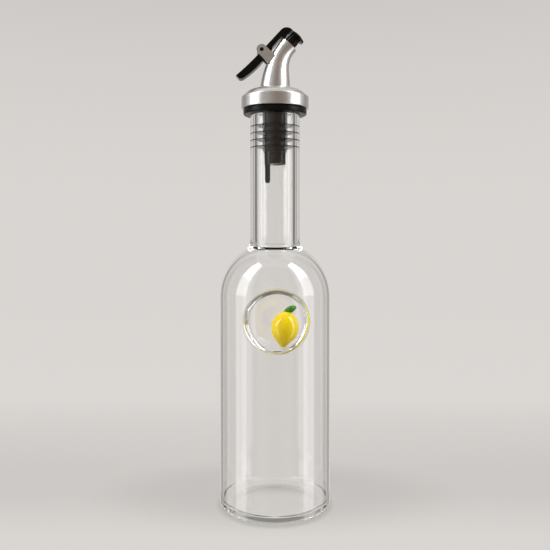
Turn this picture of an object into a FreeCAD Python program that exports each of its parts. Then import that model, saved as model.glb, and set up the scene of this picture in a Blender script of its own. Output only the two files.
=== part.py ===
import FreeCAD, Part
import math
import os
import Sketcher
from FreeCAD import Placement, Rotation, Vector

# Oil bottle with a flip-top pourer, in millimetres.
# Frame: +Z up, origin at the centre of the bottle's foot, the ornament's pocket
# faces -Y and the spout leans towards +X.
#
# The bottle is one hollow piece of glass: a cylinder, a half-round shoulder and a
# straight neck, with a round pocket pressed into its front. A glass lemon with a
# leaf sits in the pocket. The pourer is a metal collar and curved spout on a finned
# rubber stopper. A hinged lever carries the cap that closes the nozzle.

SIZES = [
    ("body_radius", 29.0, "outside of the cylindrical body"),
    ("wall", 1.6, "thickness of the blown wall"),
    ("shoulder_height", 109.5, "centre of the half-round shoulder"),
    ("neck_radius", 13.0, "outside of the neck"),
    ("bore_radius", 9.6, "inside of the neck"),
    ("neck_foot", 140.8, "where the neck starts to flare out"),
    ("crease_radius", 14.4, "where the flare meets the shoulder"),
    ("flare_radius", 14.0, "curve of the flare at the foot of the neck"),
    ("rim_height", 204.5, "top of the glass"),
    ("rim_round", 1.2, "rounding of the rim's outer edge"),
    ("mouth_round", 0.7, "rounding of the rim's inner edge"),
    ("throat_round", 2.5, "rounding where the shoulder's inside meets the bore"),
    ("heel_round", 3.2, "rounding at the foot"),
    ("punt_radius", 22.5, "edge of the hollow under the base"),
    ("punt_depth", 1.0, "depth of the hollow under the base"),
    ("base_thickness", 3.4, "glass under the inner floor"),
    ("floor_round", 2.6, "rounding between inner floor and wall"),
    ("pocket_radius", 13.7, "inside of the round pocket"),
    ("pocket_height", 99.5, "height of the pocket's axis"),
    ("pocket_back", 12.4, "distance of the pocket's back from the bottle's axis"),
    ("pocket_corner", 8.5, "rounding between the pocket's back and its side"),
    ("pocket_turn", 2.2, "angle of the pocket's axis off the front, towards +X"),
    ("lip_round", 1.6, "rounding of the pocket's lip outside"),
    ("bulge_round", 1.0, "rounding of the same bend inside the bottle"),
    ("lemon_radius", 6.9, "half the lemon's greatest width"),
    ("lemon_shoulder", 7.9, "from the widest place up to the stalk end"),
    ("stalk_flat", 1.2, "radius of the flat stalk end"),
    ("lemon_waist", 2.9, "radius where the nipple begins"),
    ("lemon_lower", 7.8, "from the widest place down to the nipple"),
    ("nipple_radius", 2.45, "radius of the nipple"),
    ("nipple_length", 2.2, "length of the nipple"),
    ("nipple_dome", 1.5, "height of the nipple's rounded tip"),
    ("lemon_across", 5.0, "lemon's place across the front"),
    ("lemon_depth", 20.95, "lemon's place in front of the bottle's axis"),
    ("lemon_height", 96.2, "height of the lemon's widest place"),
    ("lemon_tilt", 7.0, "lean of the lemon's top towards +X"),
    ("leaf_length", 3.3, "half the leaf's length"),
    ("leaf_width", 1.75, "half the leaf's width"),
    ("leaf_end", 0.6, "radius of the leaf's blunt ends"),
    ("leaf_rise", 28.0, "angle of the leaf above level"),
    ("leaf_across", 1.5, "leaf's middle beside the lemon's stalk end"),
    ("leaf_lift", 1.0, "leaf's middle above the lemon's stalk end"),
    ("flange_radius", 16.6, "rubber flange on the rim"),
    ("flange_thick", 3.1, "thickness of the flange"),
    ("flange_round", 0.8, "rounding of the flange's edge"),
    ("plug_radius", 6.5, "rubber column between the fins"),
    ("plug_foot", 184.7, "lower end of the rubber"),
    ("plug_taper", 1.6, "height of the cone at the plug's lower end"),
    ("plug_edge", 0.3, "rubber round the core at the plug's lower end"),
    ("fin_radius", 9.65, "rim of a fin, just wider than the bore"),
    ("fin_root", 1.5, "thickness of a fin at the column"),
    ("fin_rim", 0.5, "thickness of a fin at its rim"),
    ("fin_droop", 0.7, "how far a fin's rim lies above its root"),
    ("fin_first", 187.0, "height of the lowest fin"),
    ("fin_step", 3.65, "distance from fin to fin"),
    ("fin_count", 4, "number of fins"),
    ("fin_bed", 0.4, "how deep a fin is rooted in the column"),
    ("core_radius", 5.6, "plastic core through the stopper"),
    ("core_foot", 178.6, "lower end of the core"),
    ("core_top", 211.5, "upper end of the core, inside the collar"),
    ("channel_radius", 2.9, "pouring channel in the core"),
    ("channel_shift", 1.7, "channel's offset in the core, away from the air tube"),
    ("air_radius", 1.4, "outside of the air tube"),
    ("air_bore", 0.8, "inside of the air tube"),
    ("air_shift", 3.9, "air tube's distance from the axis"),
    ("air_foot", 169.0, "lower tip of the air tube"),
    ("air_taper", 1.3, "height of the tube's narrowed tip"),
    ("air_edge", 0.15, "wall of the tube at its tip"),
    ("collar_radius", 17.6, "outside of the collar"),
    ("collar_foot", 207.6, "underside of the collar"),
    ("collar_band", 213.4, "top of the collar's straight band"),
    ("collar_step", 0.7, "step from the band to the domed top"),
    ("collar_top", 217.8, "flat top of the collar"),
    ("collar_flat", 10.2, "edge of the flat top"),
    ("collar_edge", 0.4, "rounding of the collar's lower edge"),
    ("collar_curve", 8.5, "curve of the collar's domed top"),
    ("spout_base", 8.15, "radius of the spout on the collar"),
    ("spout_foot", 7.6, "radius of the spout where it starts to bend"),
    ("spout_low", 6.68, "radius of the spout a quarter of the way round the bend"),
    ("spout_middle", 5.62, "radius of the spout halfway round the bend"),
    ("spout_lean", 0.42, "how far the horn's lower part stands off the duct's line"),
    ("bend_start", 221.7, "height where the spout starts to bend"),
    ("bend_radius", 29.7, "radius of the spout's centre line"),
    ("mouth_tilt", 41.2, "lean of the spout's mouth"),
    ("mouth_radius", 4.85, "outside of the spout's mouth"),
    ("spout_wall", 2.2, "wall of the horn round its duct"),
    ("nozzle_radius", 3.25, "outside of the nozzle"),
    ("nozzle_bore", 2.1, "hole in the nozzle"),
    ("nozzle_reach", 3.5, "how far the nozzle stands out of the mouth"),
    ("nozzle_seat", 4.0, "how deep the nozzle sits in the mouth"),
    ("nozzle_round", 0.35, "rounding of the nozzle's rim"),
    ("pin_across", -6.85, "hinge pin, from the bottle's axis"),
    ("pin_height", 237.9, "height of the hinge pin"),
    ("pin_radius", 1.05, "radius of the hinge pin"),
    ("pin_play", 0.06, "running clearance of the lever on the pin"),
    ("ear_gap", 6.2, "space between the two ears"),
    ("ear_thick", 1.5, "thickness of an ear"),
    ("ear_radius", 2.7, "rounded end of an ear"),
    ("ear_length", 10.5, "length of an ear from pin to spout"),
    ("lever_width", 5.6, "width of the lever"),
    ("lever_slant", 45.0, "angle of the lever's long line above level"),
    ("lever_depth", 4.05, "depth of the lever at the pin"),
    ("lever_round", 0.4, "rounding along the lever's edges"),
    ("round_from", 3.5, "shortest edge of the lever that is rounded"),
    ("round_until", 0.5, "past this place the lever's edges run into the cap"),
    ("tail_reach", 18.8, "length of the tail from the pin"),
    ("tail_rise", 0.4, "how far the tail's end curls up"),
    ("tail_bow", 150.0, "curve of the tail's upper side"),
    ("tail_belly", 45.0, "curve of the tail's lower side"),
    ("tail_end", 2.4, "depth of the tail at its end"),
    ("tail_tip", 1.2, "cut-off of the tail's lower corner"),
    ("arm_reach", 14.5, "from the pin to the bend, along the arm"),
    ("arm_depth", 2.75, "depth of the arm in front of the pin"),
    ("arm_rise", 0.5, "how far the arm's top climbs from pin to bend"),
    ("cheek_reach", 3.0, "half the length of the deep part at the pin"),
    ("cheek_run", 5.3, "from the pin to where the arm's depth begins"),
    ("bend_round", 4.1, "outer curve of the bend above the cap"),
    ("head_reach", 18.8, "from the pin to the far side of the bend"),
    ("head_drop", 3.7, "how far the bend comes down"),
    ("head_lean", 0.4, "how far the head's far side leans back"),
    ("head_skirt", 3.3, "length of the head's far side"),
    ("slot_near", 2.0, "near end of the slot under the head"),
    ("slot_far", 3.6, "far end of the slot under the head"),
    ("slot_drop", 0.1, "slot's roof below the bend"),
    ("tooth_reach", 12.6, "from the pin to the tooth behind the nozzle"),
    ("tooth_depth", 4.2, "how far the tooth reaches down"),
    ("tooth_lean", 0.25, "how far the tooth's back leans"),
    ("hub_radius", 2.3, "lever's hub round the pin"),
    ("cap_radius", 4.8, "radius of the cap"),
    ("cap_edge", 1.1, "thickness of the cap's edge"),
    ("cap_dome", 2.4, "thickness of the cap at its middle"),
    ("cap_lift", 4.9, "underside of the cap above the spout's mouth"),
    ("seal_radius", 3.0, "rubber seal under the cap"),
    ("seal_gap", 0.12, "space between seal and nozzle"),
    ("seal_round", 0.25, "rounding of the seal's lower edge"),
    ("overcut", 1.0, "how far a cutter reaches past the surface it opens"),
]

doc = FreeCAD.newDocument("oil_bottle")
sheet = doc.addObject("Spreadsheet::Sheet", "size")
for row, (alias, value, meaning) in enumerate(SIZES, start=1):
    sheet.set(f"A{row}", meaning)
    sheet.set(f"B{row}", str(value))
    sheet.setAlias(f"B{row}", alias)
doc.recompute()

# How closely an edge must lie on a surface to be chosen for rounding.
MATCH = 0.02

MOUTH_ACROSS = "size.bend_radius * (1 - cos(size.mouth_tilt * 1 deg))"
MOUTH_HEIGHT = "size.bend_start + size.bend_radius * sin(size.mouth_tilt * 1 deg)"


def value_of(expression):
    """Number that an expression over the sheet gives."""
    return float(sheet.evalExpression(expression))


def bind(thing, **expressions):
    """Set an object's properties from the sheet and keep them bound to it."""
    for name, expression in expressions.items():
        thing.setExpression(name.replace("__", "."), expression)


def new_body(label):
    body = doc.addObject("PartDesign::Body", label)
    body.Label = label
    return body


def plane_of(body, role):
    return next(item for item in body.Origin.OriginFeatures if item.Role == role)


def new_sketch(body, name, role, turn_axis=Vector(0, 0, 1), **offset):
    """Sketch on one of the body's own origin planes, moved and turned by the sheet."""
    sketch = body.newObject("Sketcher::SketchObject", name)
    sketch.AttachmentSupport = [(plane_of(body, role), "")]
    sketch.MapMode = "FlatFace"
    if offset:
        sketch.AttachmentOffset = Placement(Vector(), Rotation(turn_axis, 1.0))
        paths = {"x": "Base.x", "y": "Base.y", "z": "Base.z", "turn": "Rotation.Angle"}
        for key, expression in offset.items():
            sketch.setExpression(f"AttachmentOffset.{paths[key]}", expression)
    return sketch


def arc_middle(start, end, radius, side):
    """Middle of the short arc from start to end that bulges to one side of travel."""
    chord = end - start
    half = chord.Length / 2
    rise = radius - math.sqrt(max(radius * radius - half * half, 0.0))
    normal = Vector(-chord.y, chord.x, 0).normalize()
    return (start + end) * 0.5 + normal * (rise if side == "left" else -rise)


def draw_outline(sketch, corners):
    """Closed outline. A corner is (across, up), or (across, up, radius, side) where
    the line that arrives there is an arc of that radius, bulging to that side."""
    places = [Vector(value_of(c[0]), value_of(c[1]), 0) for c in corners]
    joints = []
    for index, corner in enumerate(corners):
        following = corners[(index + 1) % len(corners)]
        start = places[index]
        end = places[(index + 1) % len(corners)]
        if len(following) == 4:
            middle = arc_middle(start, end, value_of(following[2]), following[3])
            edge = sketch.addGeometry(Part.Arc(start, middle, end), False)
            radius = sketch.addConstraint(
                Sketcher.Constraint("Radius", edge, value_of(following[2])))
            sketch.setExpression(f"Constraints[{radius}]", following[2])
        else:
            edge = sketch.addGeometry(Part.LineSegment(start, end), False)
        first = 1 if sketch.getPoint(edge, 1).distanceToPoint(start) < 1e-6 else 2
        joints.append((edge, first, 3 - first))
        for kind, expression in (("DistanceX", corner[0]), ("DistanceY", corner[1])):
            number = value_of(expression)
            fixed = sketch.addConstraint(Sketcher.Constraint(kind, edge, first, number))
            sketch.setExpression(f"Constraints[{fixed}]", expression)
    for index, (edge, _, last) in enumerate(joints):
        next_edge, next_first, _ = joints[(index + 1) % len(joints)]
        sketch.addConstraint(Sketcher.Constraint("Coincident", edge, last, next_edge, next_first))


def draw_circle(sketch, radius, across="0", up="0"):
    centre = Vector(value_of(across), value_of(up), 0)
    circle = sketch.addGeometry(Part.Circle(centre, Vector(0, 0, 1), value_of(radius)), False)
    for kind, expression in (("DistanceX", across), ("DistanceY", up)):
        fixed = sketch.addConstraint(
            Sketcher.Constraint(kind, circle, 3, value_of(expression)))
        sketch.setExpression(f"Constraints[{fixed}]", expression)
    size = sketch.addConstraint(Sketcher.Constraint("Radius", circle, value_of(radius)))
    sketch.setExpression(f"Constraints[{size}]", radius)


def turned(body, kind, name, sketch, axis="V_Axis"):
    """Revolution or groove of a sketch through a full turn about its own axis."""
    feature = body.newObject(f"PartDesign::{kind}", name)
    feature.Profile = sketch
    feature.ReferenceAxis = (sketch, [axis])
    feature.Angle = 360
    doc.recompute()
    return feature


def extruded(body, kind, name, sketch, length, midplane=True):
    feature = body.newObject(f"PartDesign::{kind}", name)
    feature.Profile = sketch
    feature.Midplane = midplane
    feature.setExpression("Length", length)
    doc.recompute()
    return feature


def round_edges(body, name, chosen, radius):
    """Fillet the edges of the body's tip that the test chooses."""
    base = body.Tip
    names = [f"Edge{i}" for i, edge in enumerate(base.Shape.Edges, start=1) if chosen(edge)]
    if not names:
        raise ValueError(f"{body.Label}: no edge for {name}")
    fillet = body.newObject("PartDesign::Fillet", name)
    fillet.Base = (base, names)
    fillet.setExpression("Radius", radius)
    doc.recompute()
    return fillet


def samples(edge, count=9):
    first, last = edge.ParameterRange
    step = (last - first) / (count - 1)
    return [edge.valueAt(first + step * i) for i in range(count)]


def ring_at(radius, height):
    """Test for the circular edges of one radius and height about the axis."""
    def chosen(edge):
        return all(abs(math.hypot(p.x, p.y) - radius) < MATCH and abs(p.z - height) < MATCH
                   for p in samples(edge))
    return chosen


def pocket_edge(cylinder_radius):
    """Test for the edges where the pocket meets the wall's surface of one radius."""
    height = value_of("size.pocket_height")
    reach = value_of("size.pocket_radius + size.wall + size.overcut")
    def chosen(edge):
        return all(p.y < 0 and abs(math.hypot(p.x, p.y) - cylinder_radius) < MATCH
                   and math.hypot(p.x, p.z - height) < reach for p in samples(edge))
    return chosen


def press_pocket(body, skin, lip, surface_radius):
    """Press the round pocket into the front of a body, grown by a skin, and round its lip."""
    sketch = new_sketch(body, body.Label + "_pocket_outline", "YZ_Plane", Vector(0, 1, 0),
                        y="size.pocket_height", turn="size.pocket_turn")
    side = f"size.pocket_radius + {skin}"
    draw_outline(sketch, [
        (f"{skin} - size.pocket_back", "0"),
        (f"{skin} - size.pocket_back", "size.pocket_radius - size.pocket_corner"),
        ("-size.pocket_back - size.pocket_corner", side, f"size.pocket_corner + {skin}", "right"),
        ("-size.body_radius - size.overcut", side),
        ("-size.body_radius - size.overcut", "0"),
    ])
    turned(body, "Groove", body.Label + "_pocket", sketch, "H_Axis")
    round_edges(body, body.Label + "_lip", pocket_edge(value_of(surface_radius)), lip)


def make_glass_bottle():
    inside = "size.body_radius - size.wall"
    outer = new_body("bottle_outside")
    sketch = new_sketch(outer, "outside_outline", "XZ_Plane")
    punt = "(size.punt_radius ^ 2 + size.punt_depth ^ 2) / (2 * size.punt_depth)"
    crease = "size.shoulder_height + sqrt(size.body_radius ^ 2 - size.crease_radius ^ 2)"
    draw_outline(sketch, [
        ("0", "size.punt_depth"),
        ("size.punt_radius", "0", punt, "left"),
        ("size.body_radius - size.heel_round", "0"),
        ("size.body_radius", "size.heel_round", "size.heel_round", "right"),
        ("size.body_radius", "size.shoulder_height"),
        ("size.crease_radius", crease, "size.body_radius", "right"),
        ("size.neck_radius", "size.neck_foot", "size.flare_radius", "left"),
        ("size.neck_radius", "size.rim_height - size.rim_round"),
        ("size.neck_radius - size.rim_round", "size.rim_height", "size.rim_round", "right"),
        ("0", "size.rim_height"),
    ])
    turned(outer, "Revolution", "outside", sketch)
    press_pocket(outer, "0", "size.lip_round", "size.body_radius")

    hollow = new_body("bottle_hollow")
    sketch = new_sketch(hollow, "hollow_outline", "XZ_Plane")
    throat = f"size.shoulder_height + sqrt(({inside}) ^ 2 - size.bore_radius ^ 2)"
    draw_outline(sketch, [
        ("0", "size.base_thickness"),
        (f"{inside} - size.floor_round", "size.base_thickness"),
        (inside, "size.base_thickness + size.floor_round", "size.floor_round", "right"),
        (inside, "size.shoulder_height"),
        ("size.bore_radius", throat, inside, "right"),
        ("size.bore_radius", "size.rim_height - size.mouth_round"),
        ("size.bore_radius + size.mouth_round", "size.rim_height", "size.mouth_round", "left"),
        ("size.bore_radius + size.mouth_round", "size.rim_height + size.overcut"),
        ("0", "size.rim_height + size.overcut"),
    ])
    turned(hollow, "Revolution", "hollow", sketch)
    round_edges(hollow, "throat_rounding",
                ring_at(value_of("size.bore_radius"), value_of(throat)), "size.throat_round")
    press_pocket(hollow, "size.wall", "size.bulge_round", inside)

    glass = doc.addObject("Part::Cut", "glass_bottle")
    glass.Base = outer
    glass.Tool = hollow
    return glass


def make_lemon():
    """Lemon about its own long axis, stalk end up, then leaned into its pocket."""
    lemon = new_body("lemon")
    sketch = new_sketch(lemon, "lemon_outline", "XZ_Plane")
    rise = "size.lemon_radius - size.stalk_flat"
    fall = "size.lemon_radius - size.lemon_waist"
    upper = f"(({rise}) ^ 2 + size.lemon_shoulder ^ 2) / (2 * ({rise}))"
    lower = f"(({fall}) ^ 2 + size.lemon_lower ^ 2) / (2 * ({fall}))"
    tip = "(size.nipple_radius ^ 2 + size.nipple_dome ^ 2) / (2 * size.nipple_dome)"
    draw_outline(sketch, [
        ("0", "-size.lemon_lower - size.nipple_length"),
        ("size.nipple_radius", "size.nipple_dome - size.lemon_lower - size.nipple_length", tip,
         "right"),
        ("size.lemon_waist", "-size.lemon_lower"),
        ("size.lemon_radius", "0", lower, "right"),
        ("size.stalk_flat", "size.lemon_shoulder", upper, "right"),
        ("0", "size.lemon_shoulder"),
    ])
    turned(lemon, "Revolution", "lemon_form", sketch)
    lemon.Placement = Placement(Vector(), Rotation(Vector(0, 1, 0), 1.0))
    bind(lemon, Placement__Base__x="size.lemon_across", Placement__Base__y="-size.lemon_depth",
         Placement__Base__z="size.lemon_height", Placement__Rotation__Angle="size.lemon_tilt")
    return lemon


def make_leaf():
    """Leaf on the lemon's stalk end, a blunt drop of green glass."""
    across = "size.lemon_across + size.lemon_shoulder * sin(size.lemon_tilt * 1 deg)"
    height = "size.lemon_height + size.lemon_shoulder * cos(size.lemon_tilt * 1 deg)"
    drop = new_body("leaf_drop")
    sketch = new_sketch(drop, "leaf_outline", "XZ_Plane")
    bow = "size.leaf_width - size.leaf_end"
    side = f"(({bow}) ^ 2 + size.leaf_length ^ 2) / (2 * ({bow}))"
    draw_outline(sketch, [
        ("0", "-size.leaf_length"),
        ("size.leaf_end", "-size.leaf_length"),
        ("size.leaf_width", "0", side, "right"),
        ("size.leaf_end", "size.leaf_length", side, "right"),
        ("0", "size.leaf_length"),
    ])
    turned(drop, "Revolution", "leaf_form", sketch)
    drop.Placement = Placement(Vector(), Rotation(Vector(0, 1, 0), 1.0))
    bind(drop, Placement__Base__x=f"{across} + size.leaf_across",
         Placement__Base__y="-size.lemon_depth", Placement__Base__z=f"{height} + size.leaf_lift",
         Placement__Rotation__Angle="90 - size.leaf_rise")
    leaf = doc.addObject("Part::Cut", "lemon_leaf")
    leaf.Base = drop
    leaf.Tool = doc.getObject("lemon")
    return leaf


def make_stopper():
    stopper = new_body("rubber_stopper")
    sketch = new_sketch(stopper, "stopper_outline", "XZ_Plane")
    top = "size.rim_height + size.flange_thick"
    draw_outline(sketch, [
        ("size.core_radius", "size.plug_foot"),
        ("size.core_radius + size.plug_edge", "size.plug_foot"),
        ("size.plug_radius", "size.plug_foot + size.plug_taper"),
        ("size.plug_radius", "size.rim_height"),
        ("size.flange_radius - size.flange_round", "size.rim_height"),
        ("size.flange_radius", "size.rim_height + size.flange_round", "size.flange_round", "right"),
        ("size.flange_radius", f"{top} - size.flange_round"),
        ("size.flange_radius - size.flange_round", top, "size.flange_round", "right"),
        ("size.core_radius", top),
    ])
    turned(stopper, "Revolution", "plug_and_flange", sketch)
    sketch = new_sketch(stopper, "fin_outline", "XZ_Plane", y="size.fin_first", turn="0")
    draw_outline(sketch, [
        ("size.plug_radius - size.fin_bed", "-size.fin_root / 2"),
        ("size.fin_radius", "size.fin_droop - size.fin_rim / 2"),
        ("size.fin_radius", "size.fin_droop + size.fin_rim / 2"),
        ("size.plug_radius - size.fin_bed", "size.fin_root / 2"),
    ])
    fin = turned(stopper, "Revolution", "fin", sketch)
    fins = stopper.newObject("PartDesign::LinearPattern", "fins")
    fins.Originals = [fin]
    fins.Direction = (plane_of(stopper, "Z_Axis"), [""])
    bind(fins, Occurrences="size.fin_count", Length="size.fin_step * (size.fin_count - 1)")
    stopper.Tip = fins
    doc.recompute()
    return stopper


def make_core():
    """Plastic core with a round pouring channel and a narrow hole for the air tube."""
    core = new_body("pourer_core")
    sketch = new_sketch(core, "core_outline", "XY_Plane", z="size.core_foot", turn="0")
    draw_circle(sketch, "size.core_radius")
    draw_circle(sketch, "size.channel_radius", "size.channel_shift")
    draw_circle(sketch, "size.air_radius", "-size.air_shift")
    extruded(core, "Pad", "core_form", sketch, "size.core_top - size.core_foot", False)
    return core


def make_air_tube():
    tube = new_body("air_tube")
    sketch = new_sketch(tube, "air_tube_outline", "XZ_Plane")
    draw_outline(sketch, [
        ("size.air_bore", "size.air_foot"),
        ("size.air_bore + size.air_edge", "size.air_foot"),
        ("size.air_radius", "size.air_foot + size.air_taper"),
        ("size.air_radius", "size.core_top"),
        ("size.air_bore", "size.core_top"),
    ])
    turned(tube, "Revolution", "air_tube_form", sketch)
    bind(tube, Placement__Base__x="-size.air_shift")
    return tube


def make_horn(spout, kind, name, foot_height, foot_radius, wall):
    """Loft up the bent spout through round sections, less the wall on their radius."""
    # Share of the bend, outer radius and share of the lean.
    stations = [(0.0, "size.spout_foot", 0.5), (0.25, "size.spout_low", 1.0),
                (0.5, "size.spout_middle", 0.5), (0.74, "size.mouth_radius", 0.0),
                (1.0, "size.mouth_radius", 0.0)]
    foot = new_sketch(spout, name + "_foot", "XY_Plane", z=foot_height, turn="0")
    draw_circle(foot, f"{foot_radius} - {wall}")
    sections = [foot]
    for number, (share, radius, lean) in enumerate(stations, start=1):
        angle = f"{share} * size.mouth_tilt"
        beside = f"{lean} * size.spout_lean"
        section = new_sketch(spout, f"{name}_section_{number}", "XY_Plane", Vector(0, 1, 0),
                             x=f"size.bend_radius * (1 - cos({angle} * 1 deg)) + {beside}",
                             z=f"size.bend_start + size.bend_radius * sin({angle} * 1 deg)",
                             turn=angle)
        draw_circle(section, f"{radius} - {wall}")
        sections.append(section)
    loft = spout.newObject(f"PartDesign::{kind}", name)
    loft.Profile = sections[0]
    loft.Sections = sections[1:]
    doc.recompute()


def make_spout():
    """Collar, curved spout and the two ears of the hinge, cast as one piece."""
    spout = new_body("pourer_spout")
    sketch = new_sketch(spout, "collar_outline", "XZ_Plane")
    dome = "size.collar_radius - size.collar_step"
    draw_outline(sketch, [
        ("0", "size.collar_foot"),
        ("size.collar_radius - size.collar_edge", "size.collar_foot"),
        ("size.collar_radius", "size.collar_foot + size.collar_edge", "size.collar_edge", "right"),
        ("size.collar_radius", "size.collar_band"),
        (dome, "size.collar_band + size.collar_step", "size.collar_step", "right"),
        ("size.collar_flat", "size.collar_top", "size.collar_curve", "right"),
        ("0", "size.collar_top"),
    ])
    turned(spout, "Revolution", "collar", sketch)

    make_horn(spout, "AdditiveLoft", "horn", "size.collar_top - size.overcut",
              "size.spout_base", "0")

    for side, name in ((-1, "front_ear"), (1, "back_ear")):
        shift = f"{-side} * (size.ear_gap + size.ear_thick) / 2"
        sketch = new_sketch(spout, name + "_outline", "XZ_Plane", x="size.pin_across",
                            y="size.pin_height", z=shift, turn="-45")
        draw_outline(sketch, [
            ("0", "-size.ear_radius", "size.ear_radius", "right"),
            ("size.ear_length", "-size.ear_radius"),
            ("size.ear_length", "size.ear_radius"),
            ("0", "size.ear_radius"),
            ("-size.ear_radius", "0", "size.ear_radius", "right"),
        ])
        extruded(spout, "Pad", name, sketch, "size.ear_thick")

    sketch = new_sketch(spout, "pin_hole_outline", "XZ_Plane", x="size.pin_across",
                        y="size.pin_height", turn="0")
    draw_circle(sketch, "size.pin_radius")
    extruded(spout, "Pocket", "pin_hole", sketch, "size.ear_gap + 2 * size.ear_thick + size.overcut")

    sketch = new_sketch(spout, "core_socket_outline", "XZ_Plane")
    draw_outline(sketch, [
        ("0", "size.collar_foot - size.overcut"),
        ("size.core_radius", "size.collar_foot - size.overcut"),
        ("size.core_radius", "size.core_top"),
        ("0", "size.core_top"),
    ])
    turned(spout, "Groove", "core_socket", sketch)

    make_horn(spout, "SubtractiveLoft", "duct", "size.core_top - size.overcut",
              "size.spout_foot", "size.spout_wall")

    sketch = at_mouth(spout, "nozzle_socket_outline")
    draw_outline(sketch, [
        ("0", "-size.nozzle_seat"),
        ("size.nozzle_radius", "-size.nozzle_seat"),
        ("size.nozzle_radius", "size.overcut"),
        ("0", "size.overcut"),
    ])
    turned(spout, "Groove", "nozzle_socket", sketch)
    return spout


def at_mouth(body, name):
    """Sketch whose upright axis is the axis of the spout's mouth."""
    return new_sketch(body, name, "XZ_Plane", x=MOUTH_ACROSS, y=MOUTH_HEIGHT,
                      turn="-size.mouth_tilt")


def make_nozzle():
    nozzle = new_body("nozzle")
    sketch = at_mouth(nozzle, "nozzle_outline")
    draw_outline(sketch, [
        ("size.nozzle_bore", "-size.nozzle_seat"),
        ("size.nozzle_radius", "-size.nozzle_seat"),
        ("size.nozzle_radius", "size.nozzle_reach - size.nozzle_round"),
        ("size.nozzle_radius - size.nozzle_round", "size.nozzle_reach", "size.nozzle_round",
         "right"),
        ("size.nozzle_bore", "size.nozzle_reach"),
    ])
    turned(nozzle, "Revolution", "nozzle_form", sketch)
    return nozzle


def make_pin():
    """Hinge pin through both ears."""
    pin = doc.addObject("Part::Cylinder", "hinge_pin")
    pin.Placement = Placement(Vector(), Rotation(Vector(1, 0, 0), 90))
    bind(pin, Radius="size.pin_radius", Height="size.ear_gap + 2 * size.ear_thick",
         Placement__Base__x="size.pin_across", Placement__Base__z="size.pin_height",
         Placement__Base__y="size.ear_gap / 2 + size.ear_thick")
    return pin


def make_lever():
    """Lever in one moulding: curved tail, hub, arm, tooth and the domed round cap."""
    lever = new_body("lever")
    sketch = new_sketch(lever, "lever_outline", "XZ_Plane", x="size.pin_across",
                        y="size.pin_height", turn="size.lever_slant")
    draw_outline(sketch, [
        ("-size.tail_reach", "size.tail_rise"),
        ("0", "0", "size.tail_bow", "right"),
        ("size.arm_reach", "size.arm_rise"),
        ("size.head_reach", "-size.head_drop", "size.bend_round", "left"),
        ("size.head_reach - size.head_lean", "-size.head_drop - size.head_skirt"),
        ("size.head_reach - size.slot_near", "-size.head_drop - size.slot_drop"),
        ("size.head_reach - size.slot_far", "-size.head_drop - size.slot_drop"),
        ("size.tooth_reach", "-size.tooth_depth"),
        ("size.tooth_reach - size.tooth_lean", "size.arm_rise - size.arm_depth"),
        ("size.cheek_run", "-size.arm_depth"),
        ("size.cheek_reach", "-size.lever_depth"),
        ("-size.cheek_reach", "-size.lever_depth"),
        ("size.tail_tip - size.tail_reach", "size.tail_rise - size.tail_tip - size.tail_end",
         "size.tail_belly", "left"),
        ("-size.tail_reach", "size.tail_rise - size.tail_end"),
    ])
    extruded(lever, "Pad", "tail_and_arm", sketch, "size.lever_width")
    half_width = value_of("size.lever_width") / 2
    shortest = value_of("size.round_from")
    cap_side = value_of("size.round_until")

    def along_side(edge):
        return edge.Length > shortest and all(
            abs(abs(p.y) - half_width) < MATCH and p.x < cap_side for p in samples(edge))
    round_edges(lever, "lever_rounding", along_side, "size.lever_round")

    sketch = new_sketch(lever, "hub_outline", "XZ_Plane", x="size.pin_across",
                        y="size.pin_height", turn="0")
    draw_circle(sketch, "size.hub_radius")
    extruded(lever, "Pad", "hub", sketch, "size.lever_width")

    sketch = at_mouth(lever, "cap_outline")
    rise = "size.cap_dome - size.cap_edge"
    draw_outline(sketch, [
        ("0", "size.cap_lift"),
        ("size.cap_radius", "size.cap_lift"),
        ("size.cap_radius", "size.cap_lift + size.cap_edge"),
        ("0", "size.cap_lift + size.cap_dome",
         f"(size.cap_radius ^ 2 + ({rise}) ^ 2) / (2 * ({rise}))", "right"),
    ])
    turned(lever, "Revolution", "cap", sketch)

    sketch = new_sketch(lever, "hub_hole_outline", "XZ_Plane", x="size.pin_across",
                        y="size.pin_height", turn="0")
    draw_circle(sketch, "size.pin_radius + size.pin_play")
    extruded(lever, "Pocket", "hub_hole", sketch, "size.lever_width + size.overcut")
    return lever


def make_seal():
    """Rubber seal under the cap."""
    seal = new_body("cap_seal")
    sketch = at_mouth(seal, "seal_outline")
    face = "size.nozzle_reach + size.seal_gap"
    draw_outline(sketch, [
        ("0", face),
        ("size.seal_radius - size.seal_round", face),
        ("size.seal_radius", f"{face} + size.seal_round", "size.seal_round", "right"),
        ("size.seal_radius", "size.cap_lift"),
        ("0", "size.cap_lift"),
    ])
    turned(seal, "Revolution", "seal_form", sketch)
    return seal


def check_and_export(pieces):
    """Stop on any failed object, then write one STEP file for each piece."""
    doc.recompute()
    for item in doc.Objects:
        if "Invalid" in item.State or "Error" in item.State:
            raise RuntimeError(f"{item.Name} failed: {item.State}")
    for piece in pieces:
        shape = piece.Shape
        if shape.isNull() or not shape.isValid() or len(shape.Solids) != 1:
            raise RuntimeError(f"{piece.Label} has no single valid solid")
    os.makedirs("parts", exist_ok=True)
    for piece in pieces:
        piece.Shape.exportStep(f"parts/{piece.Label}.step")
        print(f"{piece.Label}: {piece.Shape.Volume:.0f} cubic mm")


check_and_export([
    make_glass_bottle(),
    make_lemon(),
    make_leaf(),
    make_stopper(),
    make_core(),
    make_air_tube(),
    make_spout(),
    make_nozzle(),
    make_pin(),
    make_lever(),
    make_seal(),
])
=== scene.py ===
"""Glass oil bottle with a lemon in its front pocket and a flip-top pourer."""
import math
from collections import namedtuple

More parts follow.
